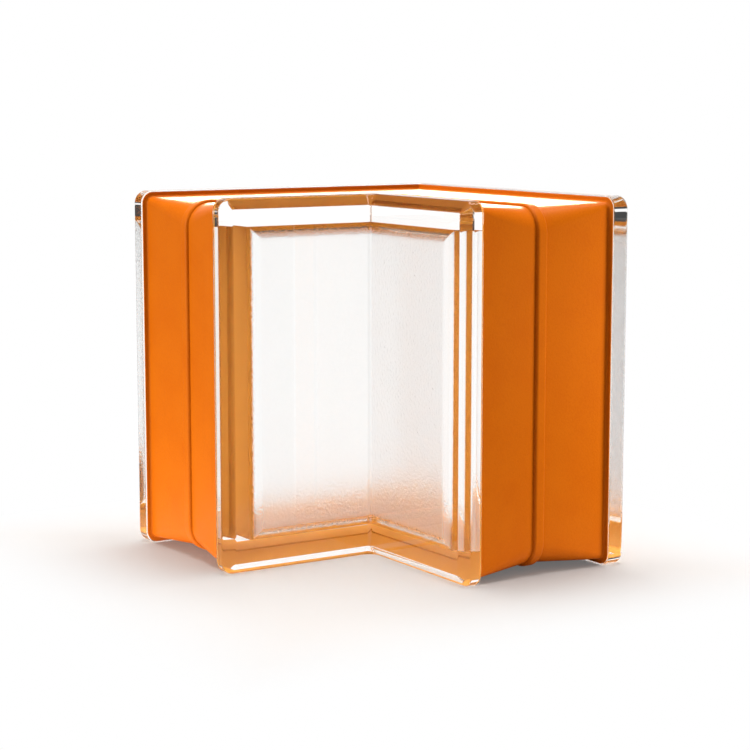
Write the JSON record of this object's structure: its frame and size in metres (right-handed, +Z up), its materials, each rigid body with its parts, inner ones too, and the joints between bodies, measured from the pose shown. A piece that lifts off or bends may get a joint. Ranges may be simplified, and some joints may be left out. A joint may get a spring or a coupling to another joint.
{
  "type": "corner glass block",
  "caption": "Hollow corner glass block with clear L-shaped face plates, recessed orange-coated edges and a fused seam, for turning a glass-block wall through a right angle.",
  "frame": {"origin": "middle of the footprint's square outline, on the floor that the bottom rims stand on", "axes": "+Z up; a leg runs along +X and the other along -Y; the concave corner opens towards +X and -Y"},
  "size_m": [0.1436, 0.1436, 0.146],
  "materials": {
    "clear_glass": "clear pressed soda-lime glass, smooth outside, fine satin inside",
    "orange_coat": "opaque satin orange lacquer sprayed on the edge channel"
  },
  "bodies": {
    "root": {"glass_body": "clear_glass", "edge_coat": "orange_coat"}
  },
  "joints": []
}
